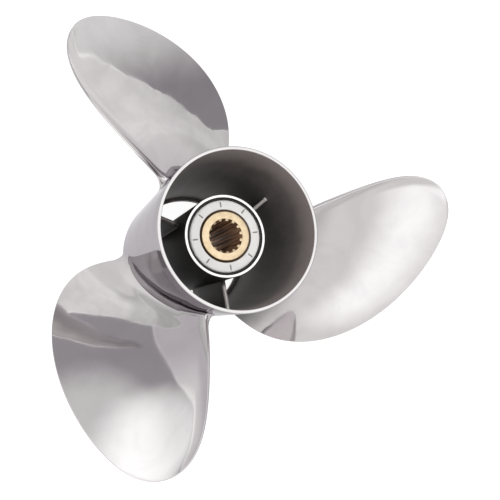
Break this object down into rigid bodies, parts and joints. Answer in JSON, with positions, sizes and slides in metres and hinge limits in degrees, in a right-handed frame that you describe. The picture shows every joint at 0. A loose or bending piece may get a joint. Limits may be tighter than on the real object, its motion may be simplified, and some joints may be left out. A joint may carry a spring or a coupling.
{
  "type": "outboard propeller",
  "caption": "Right-hand three-blade stainless boat propeller with skewed, raked and cupped blades, an exhaust passage through its hub and a splined brass sleeve.",
  "frame": {"origin": "on the shaft line, in the plane of the barrel's forward rim, which the propeller stands on", "axes": "+Z along the shaft towards the aft end, +Y from the shaft line to the tip of blade_1"},
  "size_m": [0.3307, 0.3152, 0.1506],
  "materials": {
    "polished_stainless": "polished",
    "cast_stainless": "as cast, dull",
    "black_rubber": "matt",
    "white_moulding": "fine grained",
    "yellow_brass": "machined"
  },
  "bodies": {
    "root": {"barrel": "polished_stainless", "blade_1": "polished_stainless", "blade_2": "polished_stainless", "blade_3": "polished_stainless", "rib_1": "cast_stainless", "rib_2": "cast_stainless", "rib_3": "cast_stainless", "inner_hub": "cast_stainless", "rubber_sleeve": "black_rubber", "hub_bush": "white_moulding", "drive_sleeve": "yellow_brass"}
  },
  "joints": []
}
